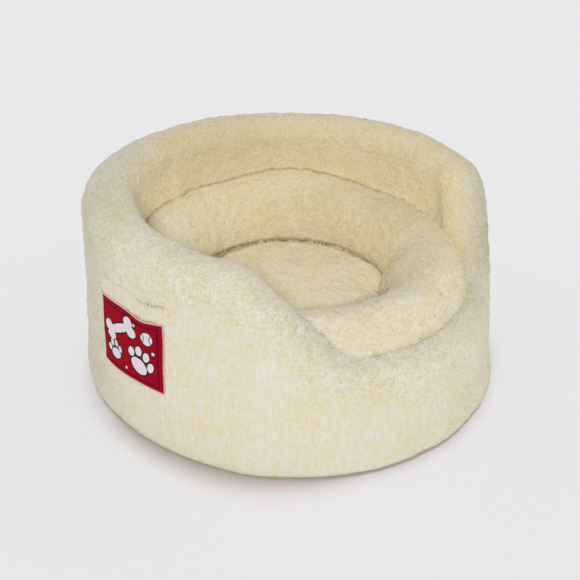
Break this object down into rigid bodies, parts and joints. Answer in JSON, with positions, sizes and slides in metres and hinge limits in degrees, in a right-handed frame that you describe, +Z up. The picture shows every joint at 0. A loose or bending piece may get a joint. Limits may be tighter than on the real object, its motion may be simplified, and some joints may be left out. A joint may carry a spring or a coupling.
{
  "type": "dog bed",
  "caption": "Round padded nest bed for a small dog: tall fleece wall with a low entrance, bolster ring, crowned centre pad and a side pocket with a printed patch.",
  "frame": {"origin": "on the floor, under the middle of the bed's bounding box", "axes": "+Z up, -Y out through the low entrance, the pocket on the -X side"},
  "size_m": [0.5137, 0.5233, 0.2517],
  "materials": {
    "wall_fleece": "cream short-pile sherpa fleece, combed down the wall",
    "cushion_fleece": "warm cream short-pile sherpa fleece",
    "floor_cloth": "plain matt woven floor cloth",
    "printed_cloth": "smooth satin-weave cloth, printed crimson with white and black motifs"
  },
  "bodies": {
    "root": {"wall": "wall_fleece", "base": "floor_cloth", "bolster_ring": "cushion_fleece", "centre_pad": "cushion_fleece", "pocket": "wall_fleece", "patch": "printed_cloth"}
  },
  "joints": []
}
